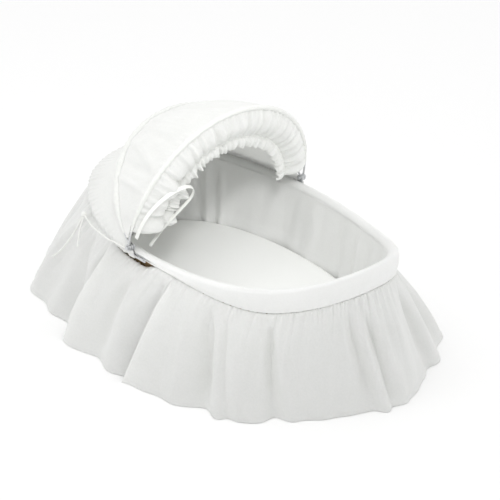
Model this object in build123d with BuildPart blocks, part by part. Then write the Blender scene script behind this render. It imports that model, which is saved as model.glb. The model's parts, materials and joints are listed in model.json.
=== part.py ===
"""Oval wicker bassinet basket with a lining, a mattress, a floor-length skirt and a folding two-bow hood.

Millimetres.  +X points to the foot end, -Y is the near side, +Z is up.  The origin is on the
floor, at the middle of the skirt's hem.
"""
import os
from math import asin, atan2, cos, degrees, pi, radians, sin, tan

from build123d import *

os.makedirs("parts", exist_ok=True)

# ---- Driving dimensions ------------------------------------------------------------------
# Each oval: centre along X, half length, half width, fullness (2 is an ellipse), foot taper.
BASE_OVAL = (52, 344, 165, 2.2, 0.05)
FLARE_OVAL = (37, 381, 253, 2.0, 0.13)
HEM_OVAL = (0, 500, 347, 2.2, 0.0)
FACETS = 28            # flat facets round the basket

BASE_HEIGHT = 10       # where the woven wall starts
FLARE_HEIGHT = 300     # where FLARE_OVAL is measured, above the highest rim
RIM_CENTRE = 40
RIM_HALF_LENGTH = 382
RIM_LOW = 206          # finished edge at mid length
HEAD_RISE = 48
FOOT_RISE = 66

WALL = 4
STAKES_PER_FACET = 2
STAKE_RADIUS = 1.5
STAKE_GAP = 0.4
BORDER_HALF = 5
LINING_OUTER = -5.5    # outsets are measured from the woven wall's outer face
LINING_INNER = -11
BAND_INNER = 5.1
BAND_OUTER = 7.3
FOLD = 2.5             # thickness of the lining where it turns over the rim
MATTRESS_OUTSET = -12.5
MATTRESS_BOTTOM = 20.5
MATTRESS_TOP = 78
SHEET = 1.2

SKIRT_OUTSET = 18
SKIRT_THICKNESS = 5
SKIRT_CUT_HEIGHT = 245
HEAD_SEAM_X = -90      # the four skirt panels meet at these two stations
FOOT_SEAM_X = 97
SEAM_GAP = 0.6

PIVOT_X = -23
PIVOT_Z = 214
PLATE_INNER_Y = 232.6
PLATE = 1.5
BRACKET_GAP = 0.3       # kept clear of the lining behind each bracket
BRACKET_ROOM = (60, 20, 40)
EYE_THICKNESS = 3.6
EYE_RADIUS = 7.5
EYE_BORE = 2.55
BOLT_RADIUS = 2.5
WASHER = 0.8
PLAY = 0.2
WIRE_RADIUS = 2.2
SLEEVE_RADIUS = 5
REAR_TILT = -41        # degrees from upright, positive towards the foot
FRONT_TILT = 12
HOOD_CLOTH = 2
PANEL_SHIFT = 7.5      # the hood panels start this far beside a bow's centre plane
PANEL_FOOT = 45        # the panels, sleeves and frill start this high up the bows
SLEEVE_FOOT = 42
FRILL_FOOT = 62
BULGE_TILT = -60       # the back panel swells between the rear bow and the head rim
BULGE_HEIGHT = 270
HEAD_RIM_TILT = -79
HEAD_RIM_HEIGHT = 304
FRILL_BANDS = ("hood_frill", "frill_elastic", "frill_ruffle")
FRILL_WIDTH = 58
ELASTIC_WIDTH = 6
RUFFLE_WIDTH = 20
FRILL_HALF_DEPTH = 5

plate_outer_y = PLATE_INNER_Y + PLATE
rear_eye_y = plate_outer_y + PLAY + WASHER + PLAY + EYE_THICKNESS / 2
front_eye_y = rear_eye_y + EYE_THICKNESS + PLAY + WASHER + PLAY
bolt_head_y = front_eye_y + EYE_THICKNESS / 2 + PLAY + WASHER + PLAY


# ---- Shapes the pieces share ---------------------------------------------------------------
def signed_power(value, exponent):
    """The power of a number's size, with the number's own sign."""
    return abs(value) ** exponent * (1 if value >= 0 else -1)


def smooth_step(value):
    """0 below 0, 1 above 1, and an S-curve between."""
    value = min(max(value, 0), 1)
    return value * value * (3 - 2 * value)


def oval_point(angle, oval, outset=0):
    """Plan position on an egg-shaped oval that narrows towards the foot."""
    centre, half_length, half_width, fullness, taper = oval
    along = signed_power(cos(angle), 2 / fullness)
    across = signed_power(sin(angle), 2 / fullness)
    y = (half_width + outset) * across * (1 - taper * along)
    return centre + (half_length + outset) * along, y


def wall_point(angle, height, outset=0):
    """Position on the straight flare between the base oval and the flare oval."""
    share = (height - BASE_HEIGHT) / (FLARE_HEIGHT - BASE_HEIGHT)
    low = oval_point(angle, BASE_OVAL, outset)
    high = oval_point(angle, FLARE_OVAL, outset)
    return tuple(a + (b - a) * share for a, b in zip(low, high))


def rim_height(x):
    """Height of the finished edge: level at the sides, raised at both ends."""
    share = max(-1.1, min(1.1, (x - RIM_CENTRE) / RIM_HALF_LENGTH))
    return RIM_LOW + HEAD_RISE * max(-share, 0) ** 2.4 + FOOT_RISE * max(share, 0) ** 3.5


def band_depth(x):
    """How far the lining hangs down outside the rim: deep round the foot, narrow at the head."""
    return 6 + 44 * smooth_step((x - 20) / 280) + 8 * smooth_step((-60 - x) / 150)


def skirt_drop(x):
    """How far the skirt's top edge lies below the rim: it droops where the hood is fastened.

    It never rises past the lower edge of the plaited border.
    """
    droop = 15 * smooth_step((x + 120) / 60) * smooth_step((70 - x) / 60)
    return max(band_depth(x) + 1 + droop, FOLD + 2 * BORDER_HALF + 1)


def cone_drop(x):
    """How far below the rim the skirt's straight cone meets the wall."""
    return 13 + 35 * smooth_step((x + 40) / 460)


def rim_point(angle, drop, outset=0):
    """Point on the flared wall, a given drop below the finished edge at that place."""
    height = RIM_LOW
    for _ in range(8):
        x, y = wall_point(angle, height, outset)
        height = rim_height(x) - (drop(x) if callable(drop) else drop)
    return x, y, height


def facet_rings(low_height, high_height, low_reach, high_reach):
    """Corners of an outline of flat facets at two heights.

    Each facet faces one fixed direction; low_reach and high_reach give how far out it lies.
    """
    rings = []
    for height, reach in ((low_height, low_reach), (high_height, high_reach)):
        lines = [(direction, reach(direction)) for direction in DIRECTIONS]
        ring = []
        for (first, reach_a), (second, reach_b) in zip(lines, lines[1:] + lines[:1]):
            spread = sin(second - first)
            x = (reach_a * sin(second) - reach_b * sin(first)) / spread
            y = (reach_b * cos(first) - reach_a * cos(second)) / spread
            ring.append(Vector(x, y, height))
        rings.append(ring)
    return rings


def facet_block(low_height, high_height, low_reach, high_reach):
    """Closed block of flat facets whose outline changes evenly from one height to another."""
    low, high = facet_rings(low_height, high_height, low_reach, high_reach)
    faces = [Face(Wire.make_polygon(low)), Face(Wire.make_polygon(high))]
    for i in range(len(low)):
        j = (i + 1) % len(low)
        faces.append(Face(Wire.make_polygon([low[i], low[j], high[j], high[i]])))
    return Solid(Shell(faces))


def reach_of(direction, points):
    """How far a closed outline reaches in one direction."""
    return max(x * cos(direction) + y * sin(direction) for x, y in points)


FINE_TURNS = [2 * pi * i / 240 for i in range(240)]
DIRECTIONS = [
    atan2(sin(2 * pi * i / FACETS) * 381, cos(2 * pi * i / FACETS) * 240) for i in range(FACETS)
]


def oval_block(low_height, high_height, oval, outset):
    """Upright oval block."""
    points = [oval_point(angle, oval, outset) for angle in FINE_TURNS]
    return facet_block(
        low_height, high_height, lambda d: reach_of(d, points), lambda d: reach_of(d, points)
    )


def wall_extent(outset):
    """Heights and reaches of the flared wall, grown or shrunk by the outset."""
    low = [wall_point(angle, BASE_HEIGHT, outset) for angle in FINE_TURNS]
    high = [wall_point(angle, FLARE_HEIGHT, outset) for angle in FINE_TURNS]
    return BASE_HEIGHT, FLARE_HEIGHT, lambda d: reach_of(d, low), lambda d: reach_of(d, high)


def wall_block(outset):
    """Block inside the flared wall, grown or shrunk by the outset."""
    return facet_block(*wall_extent(outset))


def skirt_block(outset):
    """Block inside the straight cone of the skirt, from the hem oval up past the rim."""
    hem = [oval_point(angle, HEM_OVAL, outset) for angle in FINE_TURNS]
    tops = [rim_point(angle, cone_drop, SKIRT_OUTSET + outset) for angle in FINE_TURNS]

    def high_reach(direction):
        top = max(tops, key=lambda p: p[0] * cos(direction) + p[1] * sin(direction))
        low = reach_of(direction, hem)
        at_top = top[0] * cos(direction) + top[1] * sin(direction)
        return low + (at_top - low) * SKIRT_CUT_HEIGHT / top[2]

    return facet_block(0, SKIRT_CUT_HEIGHT, lambda d: reach_of(d, hem), high_reach)


def level_slab(low_height, high_height):
    """Everything between two levels."""
    return Pos(0, 0, (low_height + high_height) / 2) * Box(1100, 900, high_height - low_height)


def slab_between(upper_drop, lower_drop=None, floor=-20):
    """Everything between two edges that follow the rim, right across the basket.

    With no lower edge the slab reaches down to the floor height given.
    """
    stations = [-510 + 34 * i for i in range(31)]
    upper = [(x, rim_height(x) - upper_drop(x)) for x in stations]
    if lower_drop is None:
        lower = [(stations[0], floor), (stations[-1], floor)]
    else:
        lower = [(x, rim_height(x) - lower_drop(x)) for x in stations]
    with BuildPart() as slab:
        with BuildSketch(Plane.XZ):
            Polygon(*upper, *reversed(lower), align=None)
        extrude(amount=400, both=True)
    return slab.part


def bow_plane(tilt, shift=0):
    """Plane of a bow through the pivot line, local x along Y and local y up the bow."""
    normal = Vector(cos(radians(tilt)), 0, -sin(radians(tilt)))
    return Plane(Vector(PIVOT_X, 0, PIVOT_Z) + normal * shift, x_dir=(0, 1, 0), z_dir=normal)


def arch_strip(plane, outer, inner, foot):
    """Flat strip between two arches; each arch is a half width and a height."""
    with BuildSketch(plane) as strip:
        with BuildLine():
            ends = []
            for half_width, height in (outer, inner):
                start = degrees(asin(foot / height))
                arch = EllipticalCenterArc((0, 0), half_width, height, start, arc_size=180 - 2 * start)
                ends.append((arch @ 0, arch @ 1))
            Line(ends[0][0], ends[1][0])
            Line(ends[0][1], ends[1][1])
        make_face()
    return strip.sketch


def side_pair(y_low, y_high, radius, bore=0, centre=(PIVOT_X, PIVOT_Z)):
    """Two discs or rings along Y, the same distance out on both sides of the basket."""
    with BuildPart() as pair:
        for side in (-1, 1):
            with BuildSketch(Plane.XZ.offset(-side * y_low)):
                with Locations(centre):
                    Circle(radius)
                    if bore:
                        Circle(bore, mode=Mode.SUBTRACT)
            extrude(amount=-side * (y_high - y_low))
    return pair.part


def finish(part, name):
    """Label a finished piece and write its file."""
    part.label = name
    export_step(part, f"parts/{name}.step")


# ---- The woven basket ----------------------------------------------------------------------
def make_base():
    """Flat woven board and the plaited ring round it that the basket stands on."""
    with BuildPart() as base_board:
        add(oval_block(0, 12, BASE_OVAL, -9.5))
    finish(base_board.part, "base_board")

    with BuildPart() as base_border:
        add(oval_block(0, BASE_HEIGHT - 0.2, BASE_OVAL, 3))
        add(oval_block(-1, BASE_HEIGHT, BASE_OVAL, -9), mode=Mode.SUBTRACT)
    finish(base_border.part, "base_border")


def make_wall():
    """Woven side wall, its upright stakes and the plaited border along its top."""
    border_top = FOLD + 0.4
    border_bottom = border_top + 2 * BORDER_HALF
    with BuildPart() as woven_wall:
        add(wall_block(0))
        add(wall_block(-WALL), mode=Mode.SUBTRACT)
        add(slab_between(lambda x: border_bottom + 0.3), mode=Mode.INTERSECT)
    finish(woven_wall.part, "woven_wall")

    low, high = facet_rings(*wall_extent(STAKE_RADIUS + STAKE_GAP))
    with BuildPart() as upright_stakes:
        for i in range(FACETS):
            j = (i + 1) % FACETS
            for k in range(STAKES_PER_FACET):
                share = (k + 0.5) / STAKES_PER_FACET
                bottom = low[i] + (low[j] - low[i]) * share
                line = high[i] + (high[j] - high[i]) * share - bottom
                top_height = rim_height((bottom + line * 0.66).X) - border_bottom - 3
                foot = bottom + line * (3 / line.Z)
                top = bottom + line * ((top_height - bottom.Z) / line.Z)
                with BuildSketch(Plane(foot, z_dir=line)):
                    Circle(STAKE_RADIUS)
                extrude(amount=(top - foot).length)
    finish(upright_stakes.part, "upright_stakes")

    with BuildPart() as rim_border:
        add(wall_block(BORDER_HALF - 0.2))
        add(wall_block(-BORDER_HALF - 0.2), mode=Mode.SUBTRACT)
        band = slab_between(lambda x: border_top, lambda x: border_bottom)
        add(band, mode=Mode.INTERSECT)
    finish(rim_border.part, "rim_border")


# ---- Lining and mattress -------------------------------------------------------------------
def make_lining():
    """Padded lining: floor pad, wall and the band that turns over the rim."""
    floor_slab = level_slab(12.4, MATTRESS_BOTTOM - 0.4)
    with BuildPart() as lining_floor:
        add(wall_block(MATTRESS_OUTSET))
        add(floor_slab, mode=Mode.INTERSECT)
    finish(lining_floor.part, "lining_floor")

    with BuildPart() as lining_wall:
        add(wall_block(LINING_OUTER))
        add(wall_block(LINING_INNER), mode=Mode.SUBTRACT)
        add(slab_between(lambda x: FOLD + 0.3, floor=12.4), mode=Mode.INTERSECT)
    finish(lining_wall.part, "lining_wall")

    hollow = wall_block(BAND_INNER) & slab_between(lambda x: FOLD)
    room_y = PLATE_INNER_Y - BRACKET_GAP + BRACKET_ROOM[1] / 2
    bracket_rooms = [Pos(-6, side * room_y, RIM_LOW) * Box(*BRACKET_ROOM) for side in (-1, 1)]
    with BuildPart() as lining_band:
        add(wall_block(BAND_OUTER))
        add(wall_block(LINING_INNER), mode=Mode.SUBTRACT)
        add(slab_between(lambda x: 0, band_depth), mode=Mode.INTERSECT)
        add(hollow, mode=Mode.SUBTRACT)
        for room in bracket_rooms:
            add(room, mode=Mode.SUBTRACT)
    finish(lining_band.part, "lining_band")


def make_mattress():
    """Foam mattress and the fitted sheet drawn over it."""
    foam_slab = level_slab(MATTRESS_BOTTOM, MATTRESS_TOP - SHEET - 0.2)
    with BuildPart() as mattress:
        add(wall_block(MATTRESS_OUTSET - SHEET - 0.2))
        add(foam_slab, mode=Mode.INTERSECT)
    finish(mattress.part, "mattress")

    sheet_slab = level_slab(MATTRESS_BOTTOM, MATTRESS_TOP)
    core = wall_block(MATTRESS_OUTSET - SHEET) & level_slab(0, MATTRESS_TOP - SHEET)
    with BuildPart() as fitted_sheet:
        add(wall_block(MATTRESS_OUTSET))
        add(sheet_slab, mode=Mode.INTERSECT)
        add(core, mode=Mode.SUBTRACT)
    finish(fitted_sheet.part, "fitted_sheet")


# ---- Skirt ---------------------------------------------------------------------------------
def make_skirt():
    """Four gathered panels that hang from the lining band and spread out on the floor."""
    shell = skirt_block(0) - skirt_block(-SKIRT_THICKNESS)
    shell = shell & slab_between(skirt_drop, floor=0)
    middle_length = FOOT_SEAM_X - HEAD_SEAM_X - SEAM_GAP
    middle_x = (FOOT_SEAM_X + HEAD_SEAM_X) / 2
    foot_end = Pos(FOOT_SEAM_X + SEAM_GAP / 2 + 300, 0, 150) * Box(600, 900, 400)
    head_end = Pos(HEAD_SEAM_X - SEAM_GAP / 2 - 300, 0, 150) * Box(600, 900, 400)
    near_side = Pos(middle_x, -225, 150) * Box(middle_length, 450, 400)
    far_side = Pos(middle_x, 225, 150) * Box(middle_length, 450, 400)
    for name, region in (
        ("skirt_foot_panel", foot_end),
        ("skirt_head_panel", head_end),
        ("skirt_near_panel", near_side),
        ("skirt_far_panel", far_side),
    ):
        with BuildPart() as panel:
            add(shell)
            add(region, mode=Mode.INTERSECT)
        finish(panel.part, name)


# ---- Hood brackets and pivots ----------------------------------------------------------------
LEG_FOOT_X = 20
LEG_HEIGHT = 11
LEG_Z = 197.9
SCREW_STATIONS = (-8, 12)
SCREW_RADIUS = 1.7


def make_bracket(name, side):
    """Bent steel strip: a rounded lug for the pivot bolt and a leg screwed along the rim."""
    face = Plane.XZ.offset(-side * PLATE_INNER_Y)
    with BuildPart() as bracket:
        with BuildSketch(face):
            with Locations((PIVOT_X, PIVOT_Z)):
                Circle(8)
            with Locations((PIVOT_X, (PIVOT_Z + LEG_Z) / 2)):
                Rectangle(16, PIVOT_Z - LEG_Z)
            with Locations(((PIVOT_X - 8 + LEG_FOOT_X) / 2, LEG_Z)):
                RectangleRounded(LEG_FOOT_X - PIVOT_X + 8, LEG_HEIGHT, 4)
            with Locations((PIVOT_X, PIVOT_Z)):
                Circle(EYE_BORE, mode=Mode.SUBTRACT)
            with Locations(*[(x, LEG_Z) for x in SCREW_STATIONS]):
                Circle(SCREW_RADIUS + 0.1, mode=Mode.SUBTRACT)
        extrude(amount=-side * PLATE)
    finish(bracket.part, name)


def make_fasteners():
    """Screws, pivot bolts, nuts and washers, each kind a group."""
    with BuildPart() as bracket_screws:
        for x in SCREW_STATIONS:
            place = (x, LEG_Z)
            add(side_pair(PLATE_INNER_Y - 7, plate_outer_y, SCREW_RADIUS, centre=place))
            add(side_pair(plate_outer_y, plate_outer_y + 1.8, 3.2, centre=place))
    finish(bracket_screws.part, "bracket_screws")

    with BuildPart() as pivot_bolts:
        add(side_pair(PLATE_INNER_Y - 5, bolt_head_y, BOLT_RADIUS))
        add(side_pair(bolt_head_y, bolt_head_y + 2.8, 4.5))
    finish(pivot_bolts.part, "pivot_bolts")

    with BuildPart() as pivot_nuts:
        for side in (-1, 1):
            with BuildSketch(Plane.XZ.offset(-side * (PLATE_INNER_Y - 0.1))):
                with Locations((PIVOT_X, PIVOT_Z)):
                    RegularPolygon(4.6, 6)
                    Circle(BOLT_RADIUS + 0.03, mode=Mode.SUBTRACT)
            extrude(amount=side * 3.6)
    finish(pivot_nuts.part, "pivot_nuts")

    with BuildPart() as pivot_washers:
        for inner_face in (
            plate_outer_y + PLAY,
            rear_eye_y + EYE_THICKNESS / 2 + PLAY,
            front_eye_y + EYE_THICKNESS / 2 + PLAY,
        ):
            add(side_pair(inner_face, inner_face + WASHER, 5.5, EYE_BORE + 0.1))
    finish(pivot_washers.part, "pivot_washers")


# ---- Hood ------------------------------------------------------------------------------------
def make_bow(name, tilt, eye_y):
    """Round steel bow with a flat eye at each end, and the cloth sleeve sewn round it."""
    plane = bow_plane(tilt)
    bores = side_pair(eye_y - 5, eye_y + 5, EYE_BORE)
    start = degrees(asin((EYE_RADIUS - 1) / eye_y))
    with BuildPart() as wire:
        with BuildLine(plane) as path:
            CenterArc((0, 0), eye_y, start, 180 - 2 * start)
        with BuildSketch(Plane(path.line @ 0, z_dir=path.line % 0)):
            Circle(WIRE_RADIUS)
        sweep(path=path.line)
        add(side_pair(eye_y - EYE_THICKNESS / 2, eye_y + EYE_THICKNESS / 2, EYE_RADIUS))
        add(bores, mode=Mode.SUBTRACT)
    finish(wire.part, f"{name}_wire")

    start = degrees(asin(SLEEVE_FOOT / eye_y))
    with BuildPart() as sleeve:
        with BuildLine(plane) as path:
            CenterArc((0, 0), eye_y, start, 180 - 2 * start)
        with BuildSketch(Plane(path.line @ 0, z_dir=path.line % 0)):
            Circle(SLEEVE_RADIUS)
            Circle(WIRE_RADIUS + 0.3, mode=Mode.SUBTRACT)
        sweep(path=path.line)
    finish(sleeve.part, f"{name}_sleeve")


def make_hood_panel(name, arches):
    """Thin sheet of hood cloth stretched over arches; each is a tilt, a shift and two radii."""
    strips = []
    for tilt, shift, half_width, height in arches:
        inner = (half_width - HOOD_CLOTH, height - HOOD_CLOTH)
        strips.append(arch_strip(bow_plane(tilt, shift), (half_width, height), inner, PANEL_FOOT))
    with BuildPart() as panel:
        loft(sections=[strip.face() for strip in strips], ruled=True)
    finish(panel.part, name)


def make_hood_panels():
    """Cloth between the bows, and the back panel from the rear bow down to the head rim."""
    rear = (rear_eye_y, rear_eye_y)
    front = (front_eye_y, front_eye_y)
    make_hood_panel(
        "hood_top_panel",
        ((REAR_TILT, PANEL_SHIFT, *rear), (FRONT_TILT, -PANEL_SHIFT, *front)),
    )
    make_hood_panel(
        "hood_back_panel",
        (
            (REAR_TILT, -PANEL_SHIFT, *rear),
            (BULGE_TILT, 0, rear_eye_y, BULGE_HEIGHT),
            (HEAD_RIM_TILT, 0, rear_eye_y - 8, HEAD_RIM_HEIGHT),
        ),
    )


def make_frill():
    """Gathered frill inside the front bow, its elastic, and the small ruffle past the elastic."""
    plane = bow_plane(FRONT_TILT)
    edges = [front_eye_y - SLEEVE_RADIUS - 1]
    for width in (FRILL_WIDTH, ELASTIC_WIDTH, RUFFLE_WIDTH):
        edges.append(edges[-1] - width)
    half_depths = (FRILL_HALF_DEPTH, 1, FRILL_HALF_DEPTH)
    for name, over, under, half_depth in zip(FRILL_BANDS, edges, edges[1:], half_depths):
        strip = arch_strip(plane, (over, over), (under + 0.4, under + 0.4), FRILL_FOOT)
        with BuildPart() as band:
            add(strip)
            extrude(amount=half_depth, dir=plane.z_dir, both=True)
        finish(band.part, name)


# ---- Free tapes and cords ----------------------------------------------------------------------
TAPE_RADIUS = 2
CORD_RADIUS = 1.5
KNOT_RADIUS = 6
KNOT_CENTRE = (-213, -214, 207)

# The tie tape loops over the near end of the frill; each point is across, up and in front of
# the front bow's own plane.
TIE_ROUTE = (
    (-233, 26, 10),
    (-229, 62, 11),
    (-211, 96, 12),
    (-184, 118, 13),
    (-153, 128, 14),
    (-126, 126, 14),
    (-110, 111, 13),
    (-108, 91, 12),
    (-121, 71, 12),
    (-141, 51, 12),
    (-163, 31, 12),
    (-184, 14, 14),
    (-202, 0, 18),
)
# The drawstring runs under the hood's edge to the bracket; its tails lie on the skirt.
DRAW_ROUTE = (
    (-206, -217, 207),
    (-182, -227, 208),
    (-153, -236, 207),
    (-122, -241, 208),
    (-92, -243, 206),
    (-63, -242, 208),
    (-37, -239, 207),
)
LONG_TAIL_ROUTE = (
    (-213, -219, 203),
    (-216, -229, 184),
    (-221, -241, 165),
    (-229, -251, 147),
    (-240, -258, 129),
    (-254, -263, 114),
    (-270, -266, 101),
)
SHORT_TAIL_ROUTE = (
    (-210, -219, 202),
    (-206, -230, 185),
    (-200, -241, 168),
    (-193, -250, 151),
)


def make_cord(name, route, radius):
    """Tube of straight runs joined by the largest tangent arcs that the runs allow."""
    points = [Vector(*point) for point in route]
    radii = []
    for before, corner, after in zip(points, points[1:], points[2:]):
        turn = radians((corner - before).get_angle(after - corner))
        shorter = min((corner - before).length, (after - corner).length)
        radii.append(0.45 * shorter / tan(turn / 2))
    with BuildPart() as tube:
        with BuildLine() as path:
            FilletPolyline(*points, radius=radii)
        with BuildSketch(Plane(path.line @ 0, z_dir=path.line % 0)):
            Circle(radius)
        sweep(path=path.line)
    length = path.wires()[0].length
    expected = pi * radius**2 * length
    print(name, "arc radii", [round(value) for value in radii], "mm")
    print(name, "length", round(length), "mm, volume share", round(tube.part.volume / expected, 3))
    finish(tube.part, name)


def make_ties():
    """The hood's tie tape, and the head drawstring with its knot and two tails."""
    plane = bow_plane(FRONT_TILT)
    make_cord("hood_tie_tape", [plane.from_local_coords(point) for point in TIE_ROUTE], TAPE_RADIUS)
    make_cord("head_drawstring", DRAW_ROUTE, CORD_RADIUS)
    make_cord("drawstring_long_tail", LONG_TAIL_ROUTE, CORD_RADIUS)
    make_cord("drawstring_short_tail", SHORT_TAIL_ROUTE, CORD_RADIUS)
    with BuildPart() as drawstring_knot:
        with Locations(KNOT_CENTRE):
            Sphere(KNOT_RADIUS)
    finish(drawstring_knot.part, "drawstring_knot")


make_base()
make_wall()
make_lining()
make_mattress()
make_skirt()
make_bracket("near_bracket", -1)
make_bracket("far_bracket", 1)
make_fasteners()
make_bow("rear_bow", REAR_TILT, rear_eye_y)
make_bow("front_bow", FRONT_TILT, front_eye_y)
make_hood_panels()
make_frill()
make_ties()
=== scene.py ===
import json
from math import asin, cos, pi, radians, sin

import bpy
import numpy as np
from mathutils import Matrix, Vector


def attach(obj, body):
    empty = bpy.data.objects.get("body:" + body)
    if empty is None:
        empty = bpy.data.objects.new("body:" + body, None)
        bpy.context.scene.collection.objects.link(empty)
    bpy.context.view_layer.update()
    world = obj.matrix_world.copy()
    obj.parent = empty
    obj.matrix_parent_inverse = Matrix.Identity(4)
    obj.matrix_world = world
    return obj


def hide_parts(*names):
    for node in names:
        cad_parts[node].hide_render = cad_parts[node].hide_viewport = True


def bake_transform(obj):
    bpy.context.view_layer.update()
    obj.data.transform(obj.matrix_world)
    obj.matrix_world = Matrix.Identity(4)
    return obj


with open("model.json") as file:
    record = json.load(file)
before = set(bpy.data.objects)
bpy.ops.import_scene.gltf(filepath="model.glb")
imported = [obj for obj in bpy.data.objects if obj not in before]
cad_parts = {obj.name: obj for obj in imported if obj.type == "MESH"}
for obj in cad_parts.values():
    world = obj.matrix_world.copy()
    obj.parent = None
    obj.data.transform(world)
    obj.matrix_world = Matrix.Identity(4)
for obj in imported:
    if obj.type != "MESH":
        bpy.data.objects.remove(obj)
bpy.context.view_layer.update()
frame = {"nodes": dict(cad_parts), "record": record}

# ---- Driving sizes, in metres, as the design has them -----------------------------------------
BASE_OVAL = (0.052, 0.344, 0.165, 2.2, 0.05)
FLARE_OVAL = (0.037, 0.381, 0.253, 2.0, 0.13)
HEM_OVAL = (0.0, 0.500, 0.347, 2.2, 0.0)
BASE_HEIGHT = 0.010
FLARE_HEIGHT = 0.300
RIM_CENTRE = 0.040
RIM_HALF_LENGTH = 0.382
RIM_LOW = 0.206
HEAD_RISE = 0.048
FOOT_RISE = 0.066
PIVOT = np.array([-0.023, 0.0, 0.214])
REAR_TILT = radians(-41)
FRONT_TILT = radians(12)
REAR_RADIUS = 0.2371
FRONT_RADIUS = 0.2419
# Cloth thickness as shown, for outer cloth, padded lining and the finer frill cotton.
OUTER_CLOTH = 0.0011
LINING_CLOTH = 0.0015
BAND_CLOTH = 0.0014
FRILL_CLOTH = 0.0009


def signed_power(value, exponent):
    """The power of a number's size, with the number's own sign."""
    return np.abs(value) ** exponent * np.sign(value)


def smooth(value):
    """0 below 0, 1 above 1, and an S-curve between."""
    value = np.clip(value, 0, 1)
    return value * value * (3 - 2 * value)


def bump(value, centre, width):
    """A bell of height 1 about a centre."""
    return np.exp(-(((value - centre) / width) ** 2))


def oval(angle, shape, outset=0.0):
    """Plan position on an egg-shaped oval that narrows towards the foot."""
    centre, half_length, half_width, fullness, taper = shape
    along = signed_power(np.cos(angle), 2 / fullness)
    across = signed_power(np.sin(angle), 2 / fullness)
    x = centre + (half_length + outset) * along
    return x, (half_width + outset) * across * (1 - taper * along)


def wall(angle, height, outset=0.0):
    """Plan position on the straight flare between the base oval and the flare oval."""
    share = (height - BASE_HEIGHT) / (FLARE_HEIGHT - BASE_HEIGHT)
    low = oval(angle, BASE_OVAL, outset)
    high = oval(angle, FLARE_OVAL, outset)
    return low[0] + (high[0] - low[0]) * share, low[1] + (high[1] - low[1]) * share


def rim_height(x):
    """Height of the finished edge: level at the sides, raised at both ends."""
    share = np.clip((x - RIM_CENTRE) / RIM_HALF_LENGTH, -1.1, 1.1)
    head = np.clip(-share, 0, None) ** 2.4
    foot = np.clip(share, 0, None) ** 3.5
    return RIM_LOW + HEAD_RISE * head + FOOT_RISE * foot


def band_depth(x):
    """How far the lining hangs down outside the rim: deep round the foot, narrow at the head."""
    return 0.006 + 0.044 * smooth((x - 0.020) / 0.280) + 0.008 * smooth((-0.060 - x) / 0.150)


def skirt_drop(x):
    """How far the skirt's top edge lies below the rim: it droops where the hood is fastened."""
    droop = smooth((x + 0.105) / 0.040) * smooth((0.060 - x) / 0.060)
    return band_depth(x) + 0.001 + 0.023 * droop


def rim_point(angle, drop, outset=0.0):
    """Points on the flared wall, a given drop below the finished edge at each place."""
    height = np.full_like(angle, RIM_LOW)
    for _ in range(8):
        x, y = wall(angle, height, outset)
        height = rim_height(x) - (drop(x) if callable(drop) else drop)
    return x, y, height


def ripple(angle, count, seed, spread=0.35):
    """Uneven waves: a few nearby wave counts added together, each with its own seeded start."""
    rng = np.random.default_rng(seed)
    total = np.zeros_like(angle)
    for share in (1.0, 0.83, 1.19, 0.61):
        total += np.cos(round(count * share) * angle + rng.uniform(0, 2 * pi)) * rng.uniform(0.5, 1)
    return total * spread


# ---- Materials ------------------------------------------------------------------------------
def new_group(name, inputs, outputs):
    """Empty shader node group with named value inputs and outputs."""
    group = bpy.data.node_groups.new(name, "ShaderNodeTree")
    for label, kind, value in inputs:
        socket = group.interface.new_socket(label, in_out="INPUT", socket_type=kind)
        socket.default_value = value
    for label, kind in outputs:
        group.interface.new_socket(label, in_out="OUTPUT", socket_type=kind)
    enter = group.nodes.new("NodeGroupInput")
    leave = group.nodes.new("NodeGroupOutput")
    return group, enter, leave


def math_node(tree, operation, first, second=None):
    """Math node with sockets or plain numbers as its operands."""
    node = tree.nodes.new("ShaderNodeMath")
    node.operation = operation
    for socket, value in zip(node.inputs, (first, second)):
        if value is None:
            continue
        if hasattr(value, "links"):
            tree.links.new(value, socket)
        else:
            socket.default_value = value
    return node.outputs[0]


def make_weave_group():
    """Plain weave with slubs and soft creases: a colour share and a height for a bump. The slub part of
    the share is the thread's own tone; the crease part is painted shade that darkens the cloth where
    the crease bump is low.
    """
    group, enter, leave = new_group(
        "cloth_weave",
        [("Thread", "NodeSocketFloat", 1800.0), ("Crease", "NodeSocketFloat", 18.0)],
        [("Share", "NodeSocketFloat"), ("Height", "NodeSocketFloat")],
    )
    place = group.nodes.new("ShaderNodeTexCoord")
    split = group.nodes.new("ShaderNodeSeparateXYZ")
    group.links.new(place.outputs["Object"], split.inputs[0])
    along = math_node(group, "ADD", split.outputs["X"], split.outputs["Y"])
    warp = math_node(group, "SINE", math_node(group, "MULTIPLY", along, enter.outputs["Thread"]))
    rise = math_node(group, "MULTIPLY", split.outputs["Z"], enter.outputs["Thread"])
    weft = math_node(group, "SINE", rise)
    thread = math_node(group, "MULTIPLY", warp, weft)
    slub = group.nodes.new("ShaderNodeTexNoise")
    slub.inputs["Scale"].default_value = 260
    slub.inputs["Detail"].default_value = 3
    group.links.new(place.outputs["Object"], slub.inputs["Vector"])
    crease = group.nodes.new("ShaderNodeTexNoise")
    crease.inputs["Detail"].default_value = 5
    crease.inputs["Distortion"].default_value = 0.6
    group.links.new(place.outputs["Object"], crease.inputs["Vector"])
    group.links.new(enter.outputs["Crease"], crease.inputs["Scale"])
    fine = math_node(group, "ADD", math_node(group, "MULTIPLY", thread, 0.10), slub.outputs["Fac"])
    fine = math_node(group, "MULTIPLY", fine, 0.12)
    height = math_node(group, "ADD", fine, math_node(group, "MULTIPLY", crease.outputs["Fac"], 0.9))
    group.links.new(height, leave.inputs["Height"])
    # Colour share: slub noise gives the thread's own tone, and the crease noise, the same field as the
    # bump height, adds painted shade in the crease hollows.
    share = math_node(group, "MULTIPLY", slub.outputs["Fac"], 0.55)
    share = math_node(group, "ADD", share, math_node(group, "MULTIPLY", crease.outputs["Fac"], 0.45))
    group.links.new(share, leave.inputs["Share"])
    return group


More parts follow.
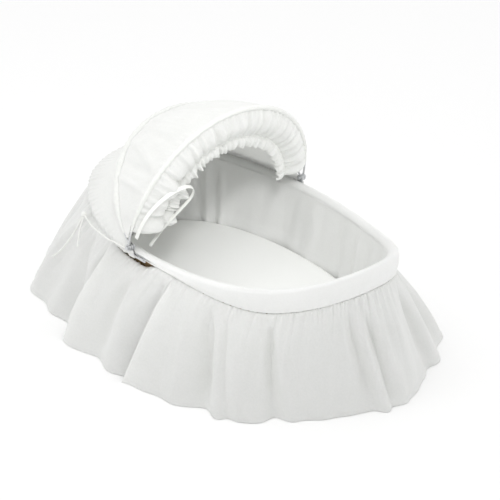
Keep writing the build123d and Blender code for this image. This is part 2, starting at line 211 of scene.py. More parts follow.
def make_straw_group():
    """Long grain along the height with darker flecks, for willow and palm."""
    group, enter, leave = new_group(
        "straw_grain",
        [("Scale", "NodeSocketFloat", 90.0)],
        [("Share", "NodeSocketFloat"), ("Height", "NodeSocketFloat")],
    )
    place = group.nodes.new("ShaderNodeTexCoord")
    stretch = group.nodes.new("ShaderNodeMapping")
    stretch.inputs["Scale"].default_value = (1, 1, 4)
    group.links.new(place.outputs["Object"], stretch.inputs["Vector"])
    grain = group.nodes.new("ShaderNodeTexNoise")
    grain.inputs["Detail"].default_value = 6
    group.links.new(stretch.outputs[0], grain.inputs["Vector"])
    group.links.new(enter.outputs["Scale"], grain.inputs["Scale"])
    group.links.new(grain.outputs["Fac"], leave.inputs["Share"])
    group.links.new(grain.outputs["Fac"], leave.inputs["Height"])
    return group


WEAVE = make_weave_group()
STRAW = make_straw_group()


def surface_material(name, group, values, colours, roughness, height, metallic=0.0, sheen=0.0):
    """Principled surface whose colour and bump come from one of the shared groups."""
    material = bpy.data.materials.new(name)
    material.use_nodes = True
    tree = material.node_tree
    shader = tree.nodes["Principled BSDF"]
    effect = tree.nodes.new("ShaderNodeGroup")
    effect.node_tree = group
    for label, value in values.items():
        effect.inputs[label].default_value = value
    ramp = tree.nodes.new("ShaderNodeValToRGB")
    ramp.color_ramp.elements[0].position = 0.3
    ramp.color_ramp.elements[1].position = 0.7
    ramp.color_ramp.elements[0].color = (*colours[0], 1)
    ramp.color_ramp.elements[1].color = (*colours[1], 1)
    tree.links.new(effect.outputs["Share"], ramp.inputs["Fac"])
    tree.links.new(ramp.outputs["Color"], shader.inputs["Base Color"])
    rough = tree.nodes.new("ShaderNodeMapRange")
    rough.inputs["To Min"].default_value = roughness - 0.06
    rough.inputs["To Max"].default_value = roughness + 0.06
    tree.links.new(effect.outputs["Share"], rough.inputs["Value"])
    tree.links.new(rough.outputs["Result"], shader.inputs["Roughness"])
    relief = tree.nodes.new("ShaderNodeBump")
    relief.inputs["Strength"].default_value = 0.6
    relief.inputs["Distance"].default_value = height
    tree.links.new(effect.outputs["Height"], relief.inputs["Height"])
    tree.links.new(relief.outputs["Normal"], shader.inputs["Normal"])
    shader.inputs["Metallic"].default_value = metallic
    shader.inputs["Sheen Weight"].default_value = sheen
    shader.inputs["Sheen Roughness"].default_value = 0.5
    shader.inputs["Specular IOR Level"].default_value = 0.5 if metallic else 0.2
    return material


SKIRT_COTTON = surface_material(
    "skirt_cotton", WEAVE, {"Thread": 1800.0, "Crease": 14.0},
    ((0.75, 0.76, 0.735), (0.80, 0.805, 0.785)), 0.9, 0.004, sheen=0.1,
)
# The lining is coloured lighter than the outer cloth: painted light that stands in for the light
# reaching the shaded inside of the basket.
LINING_COTTON_PAINTED_LIGHT = surface_material(
    "lining_cotton", WEAVE, {"Thread": 1500.0, "Crease": 9.0},
    ((0.86, 0.87, 0.845), (0.90, 0.905, 0.885)), 0.9, 0.003, sheen=0.1,
)
HOOD_COTTON = surface_material(
    "hood_cotton", WEAVE, {"Thread": 1800.0, "Crease": 16.0},
    ((0.76, 0.77, 0.745), (0.81, 0.815, 0.795)), 0.9, 0.004, sheen=0.1,
)
FRILL_COTTON = surface_material(
    "frill_cotton", WEAVE, {"Thread": 2200.0, "Crease": 30.0},
    ((0.82, 0.83, 0.80), (0.88, 0.885, 0.86)), 0.88, 0.002, sheen=0.2,
)
# The sheet is coloured lighter still: painted light that stands in for the light reaching the mattress
# deep in the shaded basket.
SHEET_JERSEY_PAINTED_LIGHT = surface_material(
    "sheet_jersey", WEAVE, {"Thread": 2600.0, "Crease": 5.0},
    ((0.93, 0.935, 0.92), (0.96, 0.965, 0.95)), 0.92, 0.001, sheen=0.2,
)
TAPE_COTTON = surface_material(
    "tape_cotton", WEAVE, {"Thread": 3200.0, "Crease": 60.0},
    ((0.80, 0.81, 0.78), (0.87, 0.875, 0.85)), 0.85, 0.0006, sheen=0.1,
)
ELASTIC_WEB = surface_material(
    "elastic", WEAVE, {"Thread": 3800.0, "Crease": 90.0},
    ((0.78, 0.79, 0.76), (0.85, 0.855, 0.83)), 0.8, 0.0006,
)
for cotton in (SKIRT_COTTON, HOOD_COTTON, FRILL_COTTON, LINING_COTTON_PAINTED_LIGHT):
    skin = cotton.node_tree.nodes["Principled BSDF"].inputs
    skin["Subsurface Weight"].default_value = 0.7
    skin["Subsurface Radius"].default_value = (1.0, 1.0, 1.0)
    skin["Subsurface Scale"].default_value = 0.004
FOAM = surface_material(
    "foam", WEAVE, {"Thread": 5200.0, "Crease": 300.0},
    ((0.80, 0.76, 0.62), (0.90, 0.87, 0.76)), 0.95, 0.0008,
)
WICKER = surface_material(
    "wicker", STRAW, {"Scale": 90.0},
    ((0.20, 0.125, 0.055), (0.52, 0.37, 0.19)), 0.6, 0.0006,
)
ZINC_STEEL = surface_material(
    "zinc_steel", STRAW, {"Scale": 400.0},
    ((0.55, 0.56, 0.57), (0.74, 0.75, 0.76)), 0.34, 0.00008, metallic=1.0,
)


# ---- Meshes from grids -------------------------------------------------------------------------
def grid_piece(name, points, material, closed_across=False, closed_along=False, thickness=0.0):
    """Smooth surface through a grid of points, rows by columns; thickness makes cloth of it."""
    rows, columns = points.shape[:2]
    index = np.arange(rows * columns).reshape(rows, columns)
    if closed_along:
        index = np.concatenate([index, index[:1]])
    if closed_across:
        index = np.concatenate([index, index[:, :1]], axis=1)
    quads = np.stack([index[:-1, :-1], index[:-1, 1:], index[1:, 1:], index[1:, :-1]], axis=-1)
    mesh = bpy.data.meshes.new(name)
    mesh.from_pydata(points.reshape(-1, 3).tolist(), [], quads.reshape(-1, 4).tolist())
    mesh.shade_smooth()
    mesh.materials.append(material)
    piece = bpy.data.objects.new(name, mesh)
    bpy.context.scene.collection.objects.link(piece)
    if thickness:
        cloth = piece.modifiers.new("cloth thickness", "SOLIDIFY")
        cloth.thickness = thickness
        cloth.offset = 0
    return piece


def outward(x, y):
    """Plan direction pointing out of an oval, from the run of its own points (last axis)."""
    along_x, along_y = np.gradient(x, axis=-1), np.gradient(y, axis=-1)
    size = np.hypot(along_x, along_y)
    return along_y / size, -along_x / size


def spread_out(points, amount):
    """Move grid points along their surface normal, worked out from the grid's own slopes."""
    down, across = np.gradient(points, axis=0), np.gradient(points, axis=1)
    normal = np.cross(across, down)
    normal /= np.linalg.norm(normal, axis=-1, keepdims=True) + 1e-12
    return points + normal * amount[..., None]


def soft_piece(piece, body, slot, *nodes):
    """Ride on a body and stand for the design's plain solids, which it hides; the slot argument is not
    used.
    """
    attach(piece, body)
    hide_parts(*nodes)
    return piece


# ---- Skirt -------------------------------------------------------------------------------------
# Where each seam between panels runs: its angle at the top edge and at the hem, in degrees.
NEAR_HEAD_SEAM = (250.5, 260.4)
NEAR_FOOT_SEAM = (279.0, 280.0)
FAR_HEAD_SEAM = (109.5, 99.6)
FAR_FOOT_SEAM = (81.0, 80.0)
# Degrees that each panel runs on past its seam, under or over the next one.
SEAM_LAP = 1.4
SKIRT_OUTSET = 0.0085
# Corners of the hem on the floor: angle in degrees and size as a share of the hem oval.
HEM_CORNERS = (
    (28.3, 1.011), (38.7, 1.012), (53.8, 1.030), (76.0, 1.000), (99.0, 1.015), (112.0, 0.985),
    (136.0, 1.012), (158.0, 0.995), (178.0, 1.015), (202.0, 1.010), (230.5, 1.022), (255.0, 0.985),
    (260.4, 1.018), (282.3, 1.010), (305.0, 1.020), (309.5, 0.982), (315.5, 0.985), (355.4, 1.026),
)
# Deep folds: angle at the top and at the hem, width in degrees, depth in metres (minus is a valley).
DEEP_FOLDS = (
    (212, 214, 4.0, -0.020),
    (226, 232, 4.0, 0.018),
    (238, 253, 4.5, -0.034),
    (262, 269, 2.6, -0.020),
    (271, 274, 3.0, 0.012),
    (286, 292, 3.5, 0.014),
    (291, 300.5, 2.6, -0.030),
    (297, 306.5, 1.8, -0.016),
    (303, 312, 4.0, 0.012),
    (312, 320.5, 2.6, -0.026),
    (327, 334, 6.0, 0.010),
    (342, 350, 2.6, -0.018),
    (349, 357, 2.4, -0.020),
    (364, 366, 5.0, 0.012),
    (377, 380, 3.0, -0.018),
    (393, 392, 4.0, -0.022),
    (411, 409, 3.5, -0.018),
    (428, 427, 3.0, -0.020),
    (90, 88, 3.0, -0.016),
    (122, 118, 4.0, -0.024),
    (140, 139, 4.0, -0.020),
    (158, 157, 4.0, 0.014),
    (172, 172, 4.0, -0.024),
    (192, 193, 4.0, 0.016),
)


def hem_line(angle):
    """Hem: straight runs between its corners, each corner softened over a few degrees."""
    corners = np.array(HEM_CORNERS)
    turn = np.concatenate([corners[:, 0] - 360, corners[:, 0], corners[:, 0] + 360])
    share = np.tile(corners[:, 1], 3)
    corner_x, corner_y = oval(np.radians(turn), HEM_OVAL, 0)
    middle_x, middle_y = HEM_OVAL[0], 0
    corner_x = middle_x + (corner_x - middle_x) * share
    corner_y = middle_y + (corner_y - middle_y) * share
    at = np.degrees(angle) % 360
    steps = np.linspace(-2.2, 2.2, 9)
    x = sum(np.interp(at + step, turn, corner_x) for step in steps) / len(steps)
    y = sum(np.interp(at + step, turn, corner_y) for step in steps) / len(steps)
    return x, y


def skirt_panel(name, start, end, columns, rise_start, rise_end):
    """Gathered panel between two seams.

    Each point lies on the straight line from the band's lower edge to the hem, moved outwards by
    small gathers that fade from the top, by uneven waves that grow towards the hem, and by the
    deep folds.  The panel's two edges stand proud or tuck under by the rises given.
    """
    down = np.linspace(0, 1, 72)[:, None]
    share = np.linspace(0, 1, columns)[None, :]
    left = start[0] + (start[1] - start[0]) * down - SEAM_LAP
    right = end[0] + (end[1] - end[0]) * down + SEAM_LAP
    degrees_round = left + (right - left) * share
    angle = np.radians(degrees_round)
    top_x, top_y, top_z = rim_point(angle, skirt_drop, SKIRT_OUTSET)
    hem_x, hem_y = hem_line(angle)
    spread = down + 0.05 * np.sin(pi * down)
    x = top_x + (hem_x - top_x) * spread
    y = top_y + (hem_y - top_y) * spread
    z = top_z * (1 - down)
    out_x, out_y = outward(x, y)
    gathers = ripple(angle, 190, 11) * 0.0026 * np.exp(-down / 0.09)
    pleats = np.abs(ripple(angle, 47, 12)) * 0.0072 * np.exp(-down / 0.34)
    gathers = gathers + pleats * smooth(down / 0.03)
    waves = ripple(angle, 37, 13) * 0.0022 * down**0.5 + ripple(angle, 9, 14) * 0.0030 * down
    push = gathers + waves
    for top_at, hem_at, width, depth in DEEP_FOLDS:
        at = top_at + (hem_at - top_at) * down
        size = 0.85 * depth * smooth(down / 0.40) * (1 - 0.45 * smooth((down - 0.7) / 0.3))
        push = push + size * bump(degrees_round, at, width * (0.55 + 0.45 * down))
        push = push - 0.35 * size * bump(degrees_round, at + 1.9 * width, width * 0.9)
    edge = 3.2 / (right - left)
    push = push + rise_start * smooth(down / 0.3) * np.exp(-share / edge)
    push = push + rise_end * smooth(down / 0.3) * np.exp(-(1 - share) / edge)
    push = push + 0.0012 * bump(down, 0.955, 0.012)
    push = np.clip(push, -0.045 * (0.1 + down), 0.024)
    points = np.stack([x + out_x * push, y + out_y * push, np.maximum(z, 0.0008)], axis=-1)
    piece = grid_piece(name + "_cloth", points, SKIRT_COTTON, thickness=OUTER_CLOTH)
    soft_piece(piece, "basket", "skirt_cotton", name)
    return piece


skirt_panel("skirt_head_panel", FAR_HEAD_SEAM, NEAR_HEAD_SEAM, 620, -0.005, -0.022)
skirt_panel("skirt_near_panel", NEAR_HEAD_SEAM, NEAR_FOOT_SEAM, 220, 0.012, -0.022)
skirt_panel(
    "skirt_foot_panel", NEAR_FOOT_SEAM, tuple(turn + 360 for turn in FAR_FOOT_SEAM), 640, 0.012, 0.004
)
skirt_panel("skirt_far_panel", FAR_FOOT_SEAM, FAR_HEAD_SEAM, 200, -0.006, 0.004)


# ---- Lining ----------------------------------------------------------------------------------
# Soft upright folds in the padded wall: angle in degrees, width, depth inwards in metres.
LINING_FOLDS = (
    (146.0, 1.6, -0.007), (141.5, 1.8, 0.007), (137.0, 1.2, -0.008), (133.5, 1.6, 0.005),
    (118.0, 5.0, 0.004), (101.0, 4.0, -0.004), (88.0, 5.0, 0.004), (74.0, 2.5, -0.004),
    (61.0, 2.2, 0.005), (54.0, 1.8, -0.006), (47.0, 2.0, 0.005), (40.0, 1.8, -0.006),
    (33.0, 2.2, 0.006), (25.0, 2.0, -0.005), (16.0, 3.0, 0.004), (345.0, 3.0, -0.004),
    (225.0, 2.5, -0.006), (219.0, 2.5, 0.005), (190.0, 4.0, -0.004),
)


def make_lining():
    """Padded wall inside the basket, and the band that rolls over the rim and hangs outside."""
    angle = np.linspace(0, 2 * pi, 560, endpoint=False)[None, :]
    up = np.linspace(0, 1, 40)[:, None]
    top = rim_point(angle, 0.0075, -0.0125)[2]
    height = 0.024 + (top - 0.024) * up
    x, y = wall(angle + 0 * up, height, -0.0125)
    out_x, out_y = outward(x, y)
    push = -0.0020 * ripple(angle + 0.15 * up, 17, 21) - 0.0012 * ripple(angle, 44, 22)
    turn = np.degrees(angle)
    for centre, width, depth in LINING_FOLDS:
        lean = 4.0 * (1 - up) * np.sign(180 - centre)
        push = push - depth * bump(turn, centre - lean, width) * smooth(up / 0.3 + 0.35)
    push = push - 0.003 * np.sin(pi * up) - 0.004 * bump(height, 0.083, 0.012)
    push = np.clip(push, -0.014, 0.0015) * (1 - 0.9 * smooth((up - 0.78) / 0.18))
    points = np.stack([x + out_x * push, y + out_y * push, height], axis=-1)
    wall_piece = grid_piece(
        "lining_wall_cloth", points, LINING_COTTON_PAINTED_LIGHT, closed_across=True, thickness=LINING_CLOTH
    )
    soft_piece(wall_piece, "basket", "lining_cotton", "lining_wall")

    roll = (
        (-0.0095, 0.015), (-0.0128, 0.0095), (-0.0120, 0.0045), (-0.0070, 0.0008),
        (-0.0015, -0.0006), (0.0040, 0.0006), (0.0072, 0.0032), (0.0084, 0.0060),
    )
    fall = np.linspace(0, 1, 22)[1:]
    rows = []
    wrinkle = 0.0007 * ripple(angle, 63, 23) + 0.0009 * ripple(angle, 29, 24)
    for outset, drop in roll:
        px, py, pz = rim_point(angle[0], drop, outset)
        rows.append(np.stack([px, py, pz], axis=-1))
    for share in fall:
        lower = lambda x, share=share: 0.006 + (band_depth(x) - 0.006) * share
        puff = 0.0084 + 0.0032 * sin(pi * share) + 0.0018 * bump(share, 0.93, 0.05)
        px, py, pz = rim_point(angle[0], lower, puff)
        nx, ny = outward(px, py)
        crease = wrinkle[0] * sin(pi * share) + 0.0012 * ripple(angle[0], 176, 11) * share**4
        rows.append(np.stack([px + nx * crease, py + ny * crease, pz], axis=-1))
    px, py, pz = rim_point(angle[0], lambda x: band_depth(x) + 0.0015, 0.0060)
    rows.append(np.stack([px, py, pz], axis=-1))
    points = np.stack(rows)
    band_piece = grid_piece(
        "lining_band_cloth", points, LINING_COTTON_PAINTED_LIGHT, closed_across=True, thickness=BAND_CLOTH
    )
    soft_piece(band_piece, "basket", "lining_cotton", "lining_band")


def padded_form(name, outsets_and_heights, crown, material):
    """Closed padded oval: side outline from a list of outsets and heights, then a crowned top.

    The crown rises as one minus the square of the distance from the middle.
    """
    angle = np.linspace(0, 2 * pi, 240, endpoint=False)
    first_outset, first_height = outsets_and_heights[0]
    last_outset, last_height = outsets_and_heights[-1]
    middle = BASE_OVAL[0]
    rows = []
    for share in (0.002, 0.4, 0.8):
        x, y = wall(angle, first_height, first_outset)
        rows.append(np.stack([middle + (x - middle) * share, y * share, x * 0 + first_height], axis=-1))
    for outset, height in outsets_and_heights:
        x, y = wall(angle, height, outset)
        rows.append(np.stack([x, y, x * 0 + height], axis=-1))
    x, y = wall(angle, last_height, last_outset)
    for share in np.linspace(0.985, 0.002, 44):
        soft = 0.0009 * ripple(angle, 9, 31) * share**2
        height = last_height + crown * (1 - share**2.6) + soft
        rows.append(np.stack([middle + (x - middle) * share, y * share, height], axis=-1))
    return grid_piece(name, np.stack(rows), material, closed_across=True)


def make_bedding():
    """Floor pad, foam mattress and the fitted sheet drawn over it."""
    edge = ((-0.020, 0.0215), (-0.0160, 0.026), (-0.0150, 0.040), (-0.0150, 0.060), (-0.0165, 0.068))
    edge += ((-0.0195, 0.0735), (-0.0245, 0.0765), (-0.032, 0.0778))
    sheet = padded_form("fitted_sheet_cloth", edge, 0.0045, SHEET_JERSEY_PAINTED_LIGHT)
    soft_piece(sheet, "basket", "sheet_jersey", "fitted_sheet")
    inner = tuple(
        (outset - 0.003, height - 0.0010 * (i > 2)) for i, (outset, height) in enumerate(edge)
    )
    foam = padded_form("mattress_foam", inner, 0.0020, FOAM)
    soft_piece(foam, "basket", "foam", "mattress")
    pad_edge = ((-0.016, 0.0128), (-0.0135, 0.0150), (-0.0135, 0.0180), (-0.020, 0.0196))
    pad = padded_form("lining_floor_pad", pad_edge, 0.0003, LINING_COTTON_PAINTED_LIGHT)
    soft_piece(pad, "basket", "lining_cotton", "lining_floor")


make_lining()
make_bedding()


# ---- Woven basket ------------------------------------------------------------------------------
def make_woven_wall():
    """Weavers pass in front of one stake and behind the next; each row does the opposite.

    Outwards offset = weave depth x cos(stake phase + half a turn for each row) x rounded row.
    """
    stakes, row_height = 44, 0.0074
    angle = np.linspace(0, 2 * pi, stakes * 10, endpoint=False)[None, :]
    up = np.linspace(0, 1, 110)[:, None]
    top = rim_point(angle, 0.0135)[2]
    height = 0.0105 + (top - 0.0105) * up
    x, y = wall(angle + 0 * up, height, -0.002)
    out_x, out_y = outward(x, y)
    row = height / row_height
    rounded = np.sqrt(np.abs(np.sin(pi * row)))
    push = 0.0022 * np.cos(stakes * angle / 2 + pi * np.floor(row)) * rounded + 0.0008 * rounded
    points = np.stack([x + out_x * push, y + out_y * push, height], axis=-1)
    piece = grid_piece("woven_wall_weave", points, WICKER, closed_across=True, thickness=0.0016)
    soft_piece(piece, "basket", "wicker", "woven_wall")


def make_plait(name, node, drop, outset, radius, level=None):
    """Plaited border: a tube whose skin rises and falls in three strands that spiral along it."""
    angle = np.linspace(0, 2 * pi, 900, endpoint=False)[None, :]
    spin = np.linspace(0, 2 * pi, 24, endpoint=False)[:, None]
    if level is None:
        x, y, z = rim_point(angle[0], drop, outset)
    else:
        x, y = oval(angle[0], BASE_OVAL, outset)
        z = np.full_like(x, level)
    out_x, out_y = outward(x, y)
    size = radius * (0.80 + 0.20 * np.abs(np.cos(1.5 * (spin + 60 * angle))))
    across, rise = size * np.cos(spin), size * np.sin(spin)
    points = np.stack([x + out_x * across, y + out_y * across, z + rise], axis=-1)
    piece = grid_piece(name, points, WICKER, closed_across=True, closed_along=True)
    soft_piece(piece, "basket", "wicker", node)


make_woven_wall()
make_plait("rim_border_plait", "rim_border", 0.0080, -0.0002, 0.0052)
make_plait("base_border_plait", "base_border", 0, -0.003, 0.0049, level=0.0050)


# ---- Hood --------------------------------------------------------------------------------------
def bow_point(sweep, tilt, radius, ahead=0.0):
    """Point on a tilted half circle about the pivot line; ahead moves it off the bow's plane."""
    rise = radius * np.sin(sweep)
    x = PIVOT[0] + rise * sin(tilt) + ahead * cos(tilt)
    y = -radius * np.cos(sweep)
    z = PIVOT[2] + rise * cos(tilt) - ahead * sin(tilt)
    return np.stack(np.broadcast_arrays(x, y, z), axis=-1)


def bow_sleeve(name, node, body, tilt, bow_radius, broad, deep):
    """Cloth casing round a bow: an oval tube with faint pulls along its length."""
    foot = asin(0.030 / bow_radius)
    sweep = np.linspace(foot, pi - foot, 260)[:, None]
    spin = np.linspace(0, 2 * pi, 28, endpoint=False)[None, :]
    pull = 1 + 0.06 * np.cos(97 * sweep + 2 * spin) + 0.05 * np.cos(41 * sweep - spin)
    pull = pull * (0.38 + 0.62 * smooth((np.sin(sweep) - sin(foot)) / 0.30))
    radius = bow_radius + deep * np.cos(spin) * pull
    points = bow_point(sweep, tilt, radius, broad * np.sin(spin) * pull)
    piece = grid_piece(name, points, HOOD_COTTON, closed_across=True)
    soft_piece(piece, body, "hood_cotton", node)


# Creases over the top panel: sweep at the rear bow and at the front bow (radians), width, depth.
TOP_CREASES = (
    (0.62, 0.52, 0.035, -0.0060), (0.78, 0.66, 0.045, 0.0050), (1.02, 0.70, 0.050, -0.0055),
    (1.16, 0.98, 0.050, 0.0045), (1.30, 1.22, 0.040, -0.0040), (1.47, 1.66, 0.060, 0.0040),
    (1.70, 1.98, 0.050, -0.0040), (1.96, 2.20, 0.060, 0.0040), (2.28, 2.44, 0.050, -0.0050),
    (2.56, 2.60, 0.050, 0.0040),
)


def make_hood_panels():
    """Cloth stretched between the bows, and the back panel down to the head rim."""
    foot = 0.09
    sweep = np.linspace(foot, pi - foot, 300)[:, None]
    across = np.linspace(0, 1, 60)[None, :]
    rear = bow_point(sweep, REAR_TILT, REAR_RADIUS + 0.0010, 0.004)
    front = bow_point(sweep, FRONT_TILT, FRONT_RADIUS + 0.0015, -0.003)
    points = rear + (front - rear) * across[..., None]
    push = -0.007 * np.sin(pi * across) * np.sin(sweep) ** 2
    push = push + 0.0016 * ripple(sweep * 2, 15, 41) * np.sin(pi * across)
    push = push + 0.0012 * ripple(sweep * 2, 70, 42) * np.exp(-(1 - across) / 0.10)
    for at_rear, at_front, width, depth in TOP_CREASES:
        line = at_rear + (at_front - at_rear) * across
        reach = np.sin(pi * np.clip(across + 0.04, 0, 1)) ** 0.7
        push = push + depth * bump(sweep, line, width) * reach
    points = spread_out(points, -push)
    top = grid_piece("hood_top_cloth", points, HOOD_COTTON, thickness=OUTER_CLOTH)
    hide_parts("hood_top_panel")
    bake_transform(top)

    down = np.linspace(0, 1, 84)[None, :]
    share = (sweep - foot) / (pi - 2 * foot)
    turn = np.radians(262 - (262 - 98) * share)
    rear = bow_point(sweep, REAR_TILT, REAR_RADIUS - 0.0005, -0.004)
    over = np.stack(rim_point(turn, 0.000, 0.0125), axis=-1)
    tuck = np.stack(rim_point(turn, 0.016, 0.0135), axis=-1)
    fall = np.clip(down / 0.88, 0, 1)[..., None]
    points = rear + (over - rear) * fall
    turn_under = smooth((down - 0.86) / 0.14)[..., None]
    points = points + (tuck - over) * turn_under
    slack = np.sin(pi * np.clip(down / 0.90, 0, 1)) * np.sin(sweep) ** 0.9
    heading = points - np.array([PIVOT[0] + 0.02, 0, PIVOT[2] - 0.03])
    heading /= np.linalg.norm(heading, axis=-1, keepdims=True)
    points = points - heading * (0.034 * slack)[..., None]
    push = 0.0030 * ripple(sweep * 2, 9, 43) * np.sin(pi * down)
    push = push + 0.0022 * ripple(sweep * 2, 62, 44) * smooth((down - 0.60) / 0.35)
    push = push + 0.0010 * ripple(sweep * 2, 50, 45) * np.exp(-down / 0.08)
    points = spread_out(points, push)
    back = grid_piece("hood_back_cloth", points, HOOD_COTTON, thickness=OUTER_CLOTH)
    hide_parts("hood_back_panel")
    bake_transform(back)


def make_frill():
    """Frill gathered between the front bow and its elastic, and the small ruffle past it.

    Both are rings in the front bow's plane; their skins leave the plane in uneven waves that are
    tight where the cloth is gathered and open where it is free.
    """
    foot = 0.16
    sweep = np.linspace(foot, pi - foot, 900)[:, None]
    near = 1 - smooth((sweep - 0.55) / 0.55)
    inner = 0.180 - 0.010 * near + 0.0030 * ripple(sweep * 2, 13, 51) * (0.3 + 1.6 * near)
    across = np.linspace(0, 1, 26)[None, :]
    radius = (FRONT_RADIUS - 0.002) + (inner - FRONT_RADIUS + 0.002) * across
    puff = 0.013 * np.sin(pi * across) * (1 + 0.6 * near)
    tight = ripple(sweep * 2, 46, 52) * 0.0034 * (0.40 + 0.60 * np.cos(pi * across) ** 2)
    loose = ripple(sweep * 2, 27, 53) * 0.0062 * np.sin(pi * across)
    lobes = ripple(sweep * 2, 12, 54) * 0.020 * near * across**1.2
    ahead = puff + tight + loose + lobes + 0.002
    points = bow_point(sweep, FRONT_TILT, radius, ahead)
    frill = grid_piece("hood_frill_cloth", points, FRILL_COTTON, thickness=FRILL_CLOTH)
    soft_piece(frill, "front_bow", "frill_cotton", "hood_frill")

    along = np.linspace(0, 2 * pi, 10, endpoint=False)[None, :]
    pucker = 1 + 0.22 * ripple(sweep * 2, 70, 55)
    band_ahead = ahead[:, -1:] * 0.6
    points = bow_point(
        sweep, FRONT_TILT, inner - 0.003 + 0.0042 * np.cos(along) * pucker,
        band_ahead + 0.0024 * np.sin(along) * pucker,
    )
    elastic = grid_piece("frill_elastic_band", points, ELASTIC_WEB, closed_across=True)
    soft_piece(elastic, "front_bow", "elastic", "frill_elastic")

    across = np.linspace(0, 1, 14)[None, :]
    width = 0.021 + 0.004 * ripple(sweep * 2, 24, 56) + 0.008 * near
    radius = inner - 0.004 - width * across
    flutter = ripple(sweep * 2, 52, 57) * 0.0062 + ripple(sweep * 2, 23, 58) * 0.0058
    ahead = band_ahead + flutter * (0.15 + across) * 0.9 + 0.003 * np.sin(pi * across) + 0.002
    ahead = ahead + lobes[:, -1:] * 0.4 * across
    points = bow_point(sweep, FRONT_TILT, radius, ahead)
    ruffle = grid_piece("frill_ruffle_cloth", points, FRILL_COTTON, thickness=FRILL_CLOTH)
    soft_piece(ruffle, "front_bow", "frill_cotton", "frill_ruffle")


for bow, tilt, bow_radius, broad, deep in (
    ("rear_bow", REAR_TILT, REAR_RADIUS, 0.0098, 0.0078),
    ("front_bow", FRONT_TILT, FRONT_RADIUS, 0.0056, 0.0054),
):
    bow_sleeve(bow + "_casing", bow + "_sleeve", bow, tilt, bow_radius, broad, deep)
make_hood_panels()
make_frill()


# ---- Tapes and cords ---------------------------------------------------------------------------
TAPE_WIDTH = 0.008
CORD_DIAMETER = 0.003
# Across, up and in front of the front bow's own plane.
TIE_ROUTE = (
    (-0.233, 0.026, 0.010), (-0.229, 0.062, 0.016), (-0.211, 0.096, 0.022), (-0.184, 0.118, 0.026),
    (-0.153, 0.128, 0.028), (-0.126, 0.126, 0.028), (-0.110, 0.111, 0.026), (-0.108, 0.091, 0.022),
    (-0.121, 0.071, 0.018), (-0.141, 0.051, 0.014), (-0.163, 0.031, 0.012), (-0.184, 0.014, 0.014),
    (-0.202, 0.000, 0.018),
)
DRAW_ROUTE = (
    (-0.206, -0.217, 0.207), (-0.182, -0.227, 0.208), (-0.153, -0.236, 0.207), (-0.122, -0.241, 0.208),
    (-0.092, -0.243, 0.206), (-0.063, -0.242, 0.208), (-0.037, -0.239, 0.207),
)
LONG_TAIL_ROUTE = (
    (-0.213, -0.219, 0.203), (-0.216, -0.229, 0.184), (-0.221, -0.241, 0.165), (-0.229, -0.251, 0.147),
    (-0.240, -0.258, 0.129), (-0.254, -0.263, 0.114), (-0.270, -0.266, 0.101),
)
SHORT_TAIL_ROUTE = (
    (-0.210, -0.219, 0.202), (-0.206, -0.230, 0.185), (-0.200, -0.241, 0.168), (-0.193, -0.250, 0.151),
)


def spline_piece(name, route, half_width, half_thickness):
    """Smooth NURBS cord through control points: a round cord, or a flat tape when it has width."""
    curve = bpy.data.curves.new(name, "CURVE")
    curve.dimensions = "3D"
    curve.resolution_u = 8
    spline = curve.splines.new("NURBS")
    spline.points.add(len(route) - 1)
    for point, place in zip(spline.points, route):
        point.co = (*place, 1)
    spline.order_u = 3
    spline.use_endpoint_u = True
    curve.extrude = half_width
    curve.bevel_depth = half_thickness
    curve.bevel_resolution = 3
    curve.use_fill_caps = True
    curve.materials.append(TAPE_COTTON)
    piece = bpy.data.objects.new(name, curve)
    bpy.context.scene.collection.objects.link(piece)
    return piece


def make_cords():
    """Hood tie tape on the front bow, and the head drawstring with the two tails that hang from its
    knot.
    """
    route = []
    for across, up, ahead in TIE_ROUTE:
        x = PIVOT[0] + up * sin(FRONT_TILT) + ahead * cos(FRONT_TILT)
        route.append((x, across, PIVOT[2] + up * cos(FRONT_TILT) - ahead * sin(FRONT_TILT)))
    tape = spline_piece("hood_tie_tape_loop", route, TAPE_WIDTH / 2 - 0.0007, 0.0007)
    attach(tape, "front_bow")
    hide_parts("hood_tie_tape")
    string = spline_piece("head_drawstring_cord", DRAW_ROUTE, 0, CORD_DIAMETER / 2)
    soft_piece(string, "basket", "tape_cotton", "head_drawstring")
    for name, tail, length in (
        ("drawstring_long_tail", LONG_TAIL_ROUTE, 0.131),
        ("drawstring_short_tail", SHORT_TAIL_ROUTE, 0.062),
    ):
        piece = spline_piece(name + "_cord", tail, 0, CORD_DIAMETER / 2)
        soft_piece(piece, "basket", "tape_cotton", name)


make_cords()


# ---- The design's own pieces get their finishes -------------------------------------------------
FINISHES = {
    "wicker": WICKER,
    "zinc_steel": ZINC_STEEL,
    "tape_cotton": TAPE_COTTON,
}
slot_of = {entry["node"]: entry["material_slot"] for entry in frame["record"]["subparts"]}
for node, solid in frame["nodes"].items():
    finish = FINISHES.get(slot_of[node])
    if finish is not None:
        for slot in solid.material_slots:
            slot.material = finish


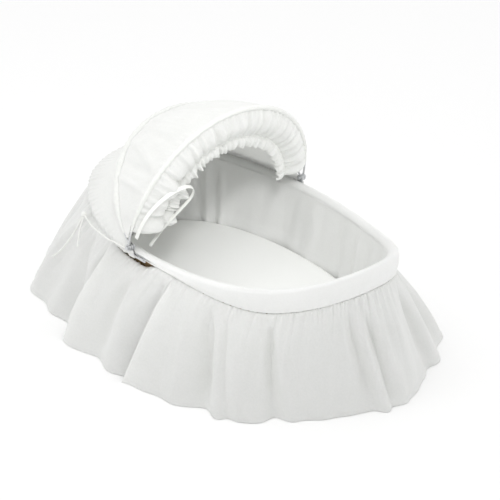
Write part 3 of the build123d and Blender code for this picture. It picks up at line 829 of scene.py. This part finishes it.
# ---- Floor, light and camera ---------------------------------------------------------------------
def make_stage():
    """White floor, even white surround, two soft lamps and one aimed into the opening."""
    mesh = bpy.data.meshes.new("floor")
    reach = 6.0
    corners = [(-reach, -reach, 0), (reach, -reach, 0), (reach, reach, 0), (-reach, reach, 0)]
    mesh.from_pydata(corners, [], [(0, 1, 2, 3)])
    floor_paint = bpy.data.materials.new("floor_paint")
    floor_paint.use_nodes = True
    paint = floor_paint.node_tree.nodes["Principled BSDF"].inputs
    paint["Base Color"].default_value = (0.99, 0.99, 0.99, 1)
    paint["Roughness"].default_value = 0.9
    mesh.materials.append(floor_paint)
    floor = bpy.data.objects.new("floor", mesh)
    bpy.context.scene.collection.objects.link(floor)
    world = bpy.data.worlds.new("studio")
    world.use_nodes = True
    world.node_tree.nodes["Background"].inputs["Color"].default_value = (1, 1, 1, 1)
    world.node_tree.nodes["Background"].inputs["Strength"].default_value = 0.96
    bpy.context.scene.world = world
    bpy.context.scene.view_settings.view_transform = "Standard"
    spot = bpy.data.lights.new("opening_light", "SPOT")
    spot.energy = 95
    spot.spot_size = radians(17)
    spot.spot_blend = 1
    spot.shadow_soft_size = 0.25
    opening_light = bpy.data.objects.new("opening_light", spot)
    opening_light.location = (1.25, -0.85, 1.75)
    aim = Vector((-0.06, 0.05, 0.13)) - opening_light.location
    opening_light.rotation_euler = aim.to_track_quat("-Z", "Y").to_euler()
    bpy.context.scene.collection.objects.link(opening_light)
    for name, place, size, power in (
        ("key_light", (1.3, -0.6, 2.9), 1.4, 5),
        ("top_light", (-0.6, -0.9, 2.4), 1.0, 3.5),
    ):
        lamp = bpy.data.lights.new(name, "AREA")
        lamp.size = size
        lamp.energy = power
        light = bpy.data.objects.new(name, lamp)
        light.location = place
        aim = Vector((0.0, 0.0, 0.2)) - light.location
        light.rotation_euler = aim.to_track_quat("-Z", "Y").to_euler()
        bpy.context.scene.collection.objects.link(light)


def make_camera():
    """Camera above and in front of the foot end's near side, looking at the basket's middle."""
    camera_data = bpy.data.cameras.new("camera")
    camera_data.lens = 88.0
    camera = bpy.data.objects.new("camera", camera_data)
    camera.location = (1.7064, -1.4925, 1.3787)
    target = Vector((0.0738, -0.0047, 0.1599))
    camera.rotation_euler = (target - camera.location).to_track_quat("-Z", "Y").to_euler()
    bpy.context.scene.collection.objects.link(camera)
    bpy.context.scene.camera = camera


make_stage()
make_camera()
